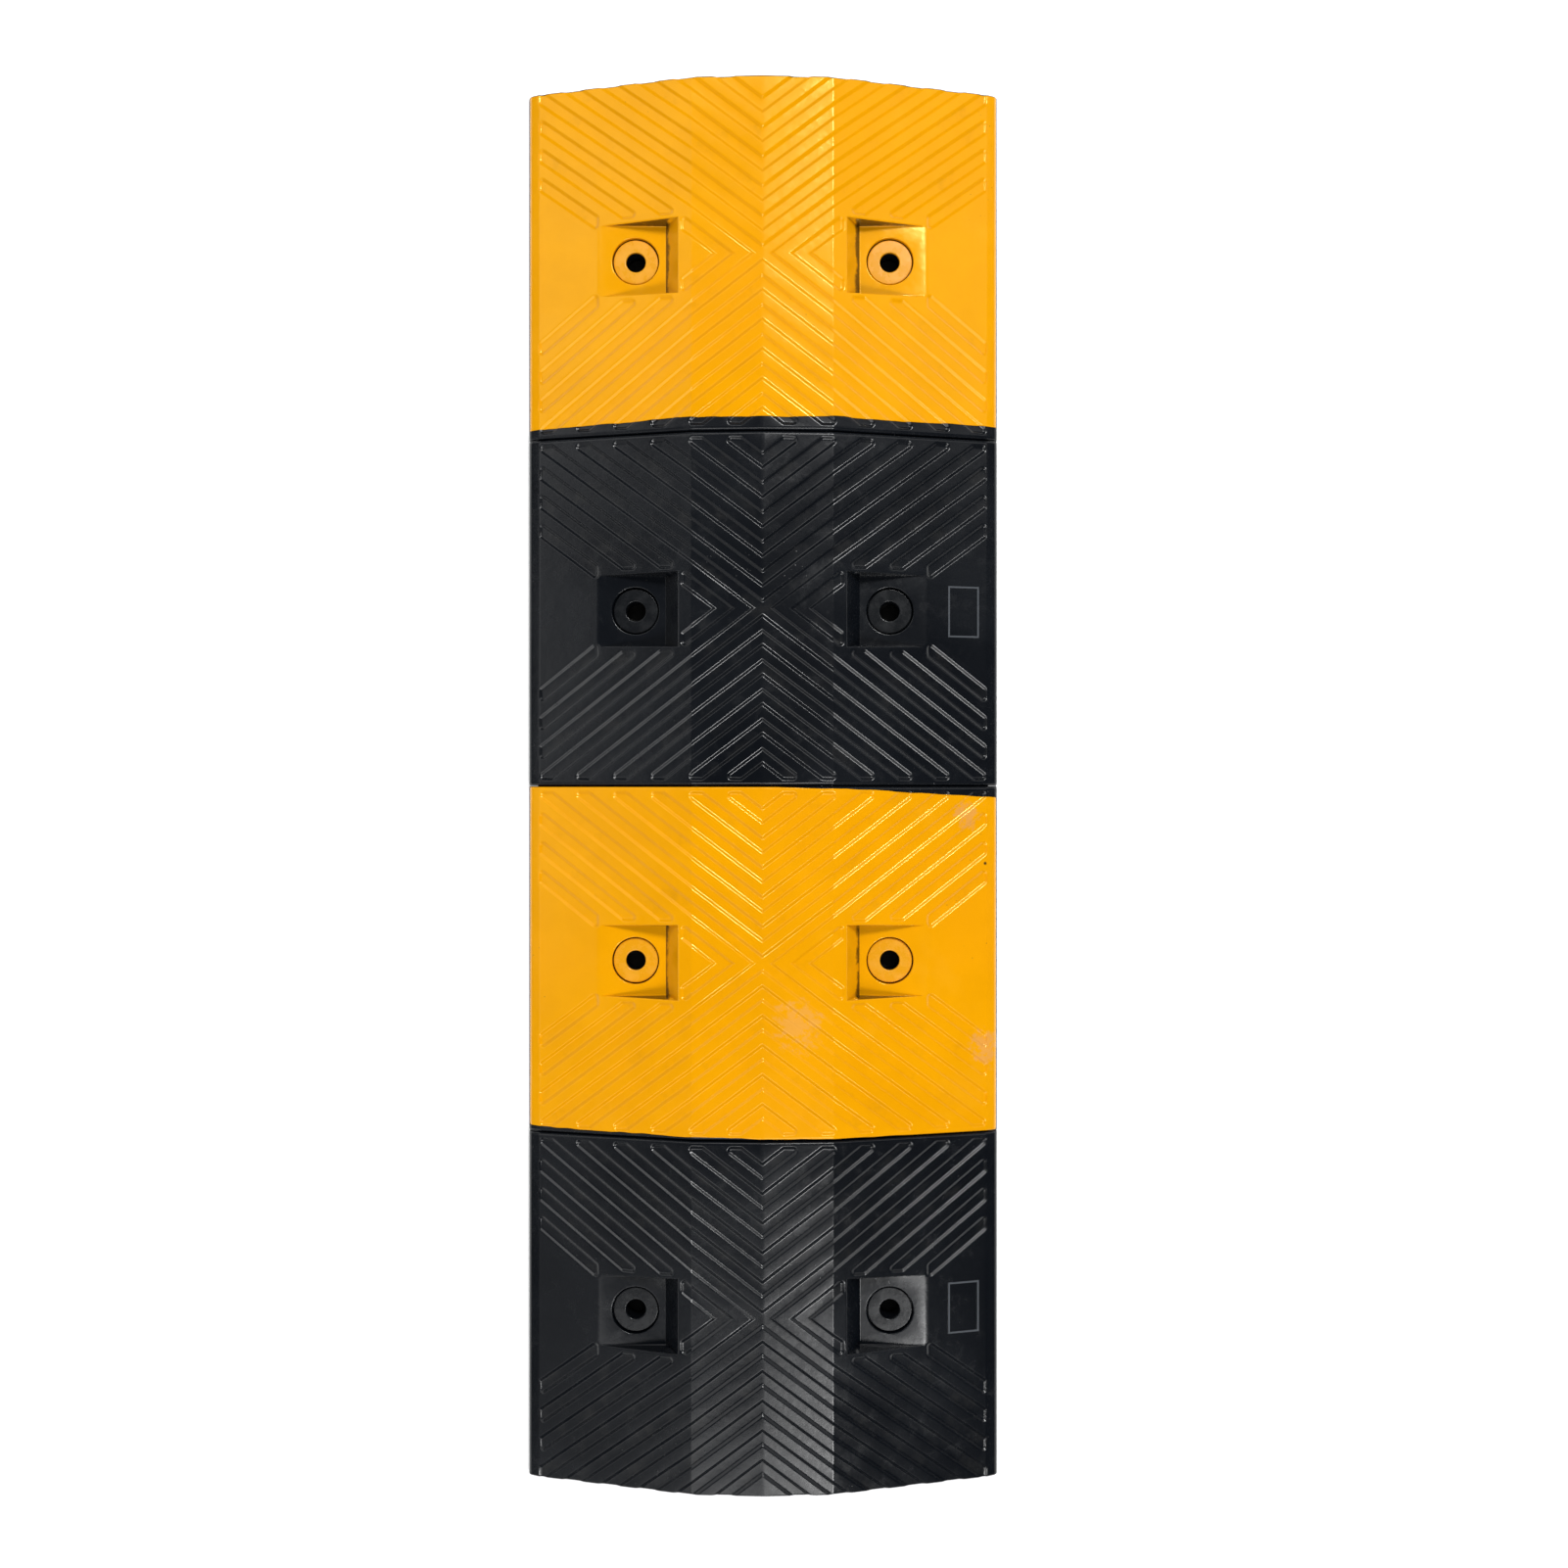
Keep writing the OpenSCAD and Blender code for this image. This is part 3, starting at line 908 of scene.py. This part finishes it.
def black_rubber():
    """Moulded black rubber: semi-gloss, slightly blue, with a film of dust in the grooves."""
    s = Shader("black_rubber_moulded")
    cloudy = s.noise(14, 5, seed=1.3)
    fine = s.noise(900, 3, 0.6, seed=0.7)
    base = s.mix(s.span(cloudy, 0.35, 0.7), (0.0018, 0.0027, 0.0045, 1), (0.0032, 0.0044, 0.0066, 1))
    dust = s.math("MULTIPLY", s.attribute("dust_and_shade"), s.span(s.noise(60, 6, 0.65, seed=4.1), 0.45, 0.75))
    base = s.mix(s.math("MULTIPLY", dust, 0.28), base, (0.032, 0.031, 0.029, 1))
    speck = s.span(s.spots(210, 3.0), 0.05, 0.12, 1.0, 0.0)
    speck = s.math("MULTIPLY", speck, s.span(s.noise(9, 2, seed=8.8), 0.56, 0.62))
    base = s.mix(s.math("MULTIPLY", speck, 0.35), base, (0.06, 0.06, 0.058, 1))
    base = s.mix(s.math("MULTIPLY", s.pointed(0.52, 0.6), 0.12), base, (0.028, 0.030, 0.033, 1))
    # The raised frame is painted lighter, partly as wear and partly as a painted highlight for the glints
    # on its sides.
    base = s.mix(s.span(s.attribute("dust_and_shade"), -0.9, -0.2, 0.9, 0.0), base, (0.075, 0.082, 0.092, 1))
    s.put(base, s.surface, "Base Color")
    scuff = s.noise(75, 6, 0.7, distortion=0.4, seed=2.2)
    rough = s.math("ADD", s.span(cloudy, 0.3, 0.7, 0.21, 0.26), s.span(scuff, 0.5, 0.72, 0.0, 0.08))
    s.put(rough, s.surface, "Roughness")
    s.surface.inputs["Specular IOR Level"].default_value = 0.42
    s.bump([(s.noise(34, 3, 0.5, seed=5.0), 0.20, 0.0010), (s.noise(240, 3, 0.5, seed=6.0), 0.10, 0.0004),
            (fine, 0.08, 0.00012), (speck, 0.3, 0.0002)])
    return s.material


# Marks of use: centre and reach in metres, strength, how broken up they are, and colour.
MARKS = [
    ((0.161, -0.056, 0.012), 0.0016, 1.0, 0.1, (0.012, 0.010, 0.008, 1)),
    ((0.1475, -0.020, 0.017), 0.009, 0.45, 0.9, (0.62, 0.30, 0.12, 1)),
    ((0.025, -0.168, 0.048), 0.014, 0.35, 0.9, (0.72, 0.36, 0.12, 1)),
    ((0.162, -0.188, 0.012), 0.011, 0.40, 0.9, (0.66, 0.32, 0.14, 1)),
]


def yellow_rubber():
    """Yellow rubber facing: bright and smooth, with paler, pinker and scuffed patches."""
    s = Shader("yellow_rubber_facing")
    broad = s.noise(7, 4, 0.5, seed=3.3)
    cloudy = s.noise(26, 5, 0.6, seed=7.1)
    base = s.mix(s.span(cloudy, 0.35, 0.7), (0.755, 0.315, 0.0002, 1), (0.795, 0.337, 0.0004, 1))
    base = s.mix(s.math("MULTIPLY", s.span(broad, 0.5, 0.7), 0.5), base, (0.80, 0.322, 0.002, 1))
    bloom = s.math("MULTIPLY", s.span(s.noise(19, 6, 0.7, seed=9.4), 0.55, 0.72), 0.35)
    base = s.mix(bloom, base, (0.80, 0.352, 0.008, 1))
    ragged = s.noise(45, 6, 0.7, seed=5.9)
    # Dust darkens the groove floors; painted shade darkens a pocket's walls.
    dust_and_wall_shade = s.math("MULTIPLY", s.attribute("dust_and_shade"), s.span(ragged, 0.5, 0.8))
    base = s.mix(s.math("MULTIPLY", dust_and_wall_shade, 0.25, clamp=True), base, (0.36, 0.16, 0.008, 1))
    # Near black: painted shade on a pocket's side walls and on a counterbore's yellow wall, and the dark
    # line along an outer end.
    near_black = s.math("ADD", s.attribute("dust_and_shade"), s.span(ragged, 0.3, 0.7, -0.35, 0.35))
    base = s.mix(s.span(near_black, 1.36, 1.9, 0.0, 0.9), base, (0.014, 0.009, 0.004, 1))
    speck = s.math("MULTIPLY", s.span(s.spots(150, 1.0), 0.04, 0.09, 1.0, 0.0),
                   s.span(s.noise(8, 2, seed=12.0), 0.58, 0.64))
    base = s.mix(s.math("MULTIPLY", speck, 0.6), base, (0.16, 0.08, 0.012, 1))
    base = s.mix(s.math("MULTIPLY", s.pointed(0.53, 0.62), 0.3), base, (0.78, 0.36, 0.015, 1))
    for mark in MARKS:
        base = s.mix(stain(s, *mark[:4]), base, mark[4])
    s.put(base, s.surface, "Base Color")
    scuff = s.noise(80, 6, 0.7, distortion=0.4, seed=1.9)
    rough = s.math("ADD", s.span(broad, 0.3, 0.7, 0.15, 0.20), s.span(scuff, 0.5, 0.75, 0.0, 0.08))
    s.put(rough, s.surface, "Roughness")
    s.surface.inputs["Specular IOR Level"].default_value = 0.6
    s.surface.inputs["Specular Tint"].default_value = (1.0, 0.85, 0.30, 1)
    s.bump([(s.noise(30, 3, 0.5, seed=5.5), 0.22, 0.0012), (s.noise(220, 3, 0.55, seed=6.6), 0.16, 0.0004),
            (s.noise(850, 3, 0.6, seed=2.6), 0.12, 0.00012)])
    return s.material


def stain(s, centre, reach, strength, broken):
    """A stain's share at each point: round a centre, with a ragged rim."""
    away = s.add("ShaderNodeVectorMath", operation="DISTANCE")
    s.join(s.place, "Object", away, 0)
    away.inputs[1].default_value = centre
    ragged = s.span(s.noise(160, 5, 0.7, seed=reach * 900), 0.25, 0.75, -broken * reach, broken * reach)
    near = s.math("ADD", (away, "Value"), ragged)
    return s.math("MULTIPLY", s.span(near, reach * 0.55, reach * 1.15, 1.0, 0.0), strength)


def painted_metal(name, colour, worn):
    """Washer paint, thin on the edges and streaked by tightening."""
    s = Shader(name)
    cloudy = s.noise(120, 5, 0.6, seed=2.0)
    base = s.mix(s.span(cloudy, 0.4, 0.7), colour, worn)
    base = s.mix(s.math("MULTIPLY", s.pointed(0.53, 0.62), 0.5), base, worn)
    s.put(base, s.surface, "Base Color")
    s.put(s.span(cloudy, 0.3, 0.7, 0.24, 0.32), s.surface, "Roughness")
    s.surface.inputs["Specular IOR Level"].default_value = 0.4
    s.bump([(s.noise(420, 4, 0.6, seed=3.0), 0.25, 0.0002), (s.noise(90, 3, 0.5, seed=4.0), 0.2, 0.0006)])
    return s.material


def brushed_steel():
    """Bare steel dowels, brushed round, with light rust."""
    s = Shader("brushed_steel_dowel")
    lines = s.noise(140, 4, 0.6, stretch=(1, 14, 1), seed=1.0)
    rust = s.span(s.noise(60, 6, 0.7, seed=6.4), 0.56, 0.72)
    s.put(s.mix(rust, (0.52, 0.52, 0.54, 1), (0.16, 0.07, 0.03, 1)), s.surface, "Base Color")
    s.put(s.span(rust, 0, 1, 1.0, 0.15), s.surface, "Metallic")
    rough = s.math("ADD", s.span(lines, 0.3, 0.7, 0.24, 0.4), s.math("MULTIPLY", rust, 0.3))
    s.put(rough, s.surface, "Roughness")
    s.bump([(lines, 0.2, 0.0001), (rust, 0.3, 0.0002)])
    return s.material


def pale_floor():
    """Matt pale paper with a faint glow, so that it stays white under soft light."""
    s = Shader("pale_floor")
    base = s.mix(s.noise(3, 2, seed=1.0), (0.93, 0.93, 0.93, 1), (0.95, 0.95, 0.95, 1))
    s.put(base, s.surface, "Base Color")
    s.put(s.span(s.noise(40, 3, seed=2.0), 0.3, 0.7, 0.7, 0.8), s.surface, "Roughness")
    s.surface.inputs["Specular IOR Level"].default_value = 0.1
    s.surface.inputs["Emission Color"].default_value = (1, 1, 1, 1)
    s.surface.inputs["Emission Strength"].default_value = FLOOR_GLOW
    s.bump([(s.noise(700, 2, seed=3.0), 0.05, 0.0002)])
    return s.material


# ---------------------------------------------------------------- stage, in metres
CAMERA_AT = (0.0152, 0.0013, 1.411)
CAMERA_LENS = 44.45
SENSOR_WIDTH = 36.0
WORLD_COLOUR = (0.90, 0.96, 1.0, 1)
WORLD_LEVEL = 0.045
FLOOR_GLOW = 0.35
FLOOR_DROP = 0.0003      # how far below the bump the floor is, to leave room for the sheet of painted shade
FLOOR_REACH = 18.0       # from the middle to the backdrop
BACKDROP_HEIGHT = 3.0
# Sheet of painted shade under the bump: its drop and thickness.
SHADE_SHEET_DROP = 0.00015
SHADE_SHEET_T = 0.0001
SHADE_SHEET_INSET = 0.012        # how much smaller than the bump the sheet of painted shade is
LIGHT_DISTANCE = 3.0
# Azimuth and elevation in degrees, power in watts and width: two key lights and dim fill.
LIGHTS = [
    (60, 56, 52, 0.6), (300, 56, 33, 0.6), (270, 50, 14, 1.4), (90, 50, 8, 1.4), (240, 50, 10, 1.4),
    (150, 35, 7, 1.4), (120, 50, 6.5, 1.4), (180, 35, 5, 1.4), (30, 35, 4, 1.4), (225, 20, 2.6, 1.4),
    (210, 35, 1.6, 1.4),
]


def place_camera():
    """Looks straight down from above the middle, a little to the right."""
    data = bpy.data.cameras.new("view_camera")
    data.sensor_width = SENSOR_WIDTH
    data.lens = CAMERA_LENS
    camera = bpy.data.objects.new("view_camera", data)
    camera.location = CAMERA_AT
    bpy.context.scene.collection.objects.link(camera)
    bpy.context.scene.camera = camera


def softbox(azimuth, elevation, power, size):
    """A round soft light aimed at the middle, from an azimuth counted from +X towards +Y."""
    data = bpy.data.lights.new(f"softbox_{azimuth}_{elevation}", "AREA")
    data.shape = "DISK"
    data.size = size
    data.energy = power
    lamp = bpy.data.objects.new(data.name, data)
    a, e = math.radians(azimuth), math.radians(elevation)
    towards = Vector((math.cos(e) * math.cos(a), math.cos(e) * math.sin(a), math.sin(e)))
    lamp.location = LIGHT_DISTANCE * towards
    lamp.rotation_euler = (-lamp.location).to_track_quat("-Z", "Y").to_euler()
    bpy.context.scene.collection.objects.link(lamp)


def set_stage():
    """Sets up the dim world, the lights, the floor with its backdrop, and the sheet of painted shade under
    the bump.
    """
    scene = bpy.context.scene
    scene.view_settings.view_transform = "Standard"
    world = bpy.data.worlds.new("studio")
    world.use_nodes = True
    background = world.node_tree.nodes["Background"]
    background.inputs["Color"].default_value = WORLD_COLOUR
    background.inputs["Strength"].default_value = WORLD_LEVEL
    scene.world = world
    for light in LIGHTS:
        softbox(*light)
    pale = pale_floor()
    bpy.ops.mesh.primitive_plane_add(size=2 * FLOOR_REACH, location=(0, 0, CAD_LO.z - FLOOR_DROP))
    floor = bpy.context.object
    floor.name = "floor"
    bpy.ops.mesh.primitive_cylinder_add(vertices=96, radius=FLOOR_REACH, depth=BACKDROP_HEIGHT,
                                        end_fill_type="NOTHING", location=(0, 0, BACKDROP_HEIGHT / 2))
    backdrop = bpy.context.object
    backdrop.name = "backdrop"
    for sheet in (floor, backdrop):
        sheet.data.materials.append(pale)
    lay_shade_sheet()


def lay_shade_sheet():
    """A dark sheet under the bump, inside its outline: painted shade that keeps the bolt holes dark."""
    bpy.ops.mesh.primitive_cube_add(size=1, location=(0, 0, CAD_LO.z - SHADE_SHEET_DROP))
    shade_sheet = bpy.context.object
    shade_sheet.name = "shade_sheet"
    shade_sheet.scale = (CAD_HI.x - CAD_LO.x - SHADE_SHEET_INSET, CAD_HI.y - CAD_LO.y - SHADE_SHEET_INSET, SHADE_SHEET_T)
    s = Shader("shade_sheet_felt")
    fuzz = s.noise(700, 3, seed=1.0)
    s.put(s.mix(fuzz, (0.045, 0.043, 0.040, 1), (0.075, 0.072, 0.068, 1)), s.surface, "Base Color")
    s.put(s.span(fuzz, 0.3, 0.7, 0.8, 0.95), s.surface, "Roughness")
    s.bump([(fuzz, 0.3, 0.0002)])
    shade_sheet.data.materials.append(s.material)


# ---------------------------------------------------------------- assembly
def dress(piece, material, slot, *nodes):
    """Gives a piece its material and puts it in place of its CAD nodes. The slot argument is not used."""
    piece.data.materials.clear()
    piece.data.materials.append(material)
    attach(piece, "root")
    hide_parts(*nodes)


def main():
    """Builds the modules with their washers, dresses the dowels, and sets the stage."""
    place_camera()
    black, yellow = black_rubber(), yellow_rubber()
    paint = {
        True: painted_metal("washer_yellow_paint", (0.69, 0.30, 0.002, 1), (0.73, 0.33, 0.015, 1)),
        False: painted_metal("washer_black_paint", (0.0030, 0.0038, 0.0052, 1), (0.006, 0.007, 0.0085, 1)),
    }
    count = sum(node.startswith("module_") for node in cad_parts)
    for number in range(1, count + 1):
        end_p = "outer" if number == 1 else "seam"
        end_n = "outer" if number == count else "seam"
        module = Module(number, end_p, end_n)
        body, skin = build_module(module)
        dress(body.object(f"block_{number}"), black, "black_rubber", f"module_{number}")
        if module.faced:
            dress(skin.object(f"skin_{number}"), yellow, "yellow_rubber", f"facing_{number}")
        for side in "ab":
            ring = washer(f"washer_{number}{side}", f"ring_{number}{side}")
            slot = "washer_yellow" if module.faced else "washer_black"
            dress(ring, paint[module.faced], slot, f"washer_{number}{side}")
    steel = brushed_steel()
    for name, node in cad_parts.items():
        if name.startswith("dowel_"):
            node.data.materials.clear()
            node.data.materials.append(steel)
    set_stage()


main()
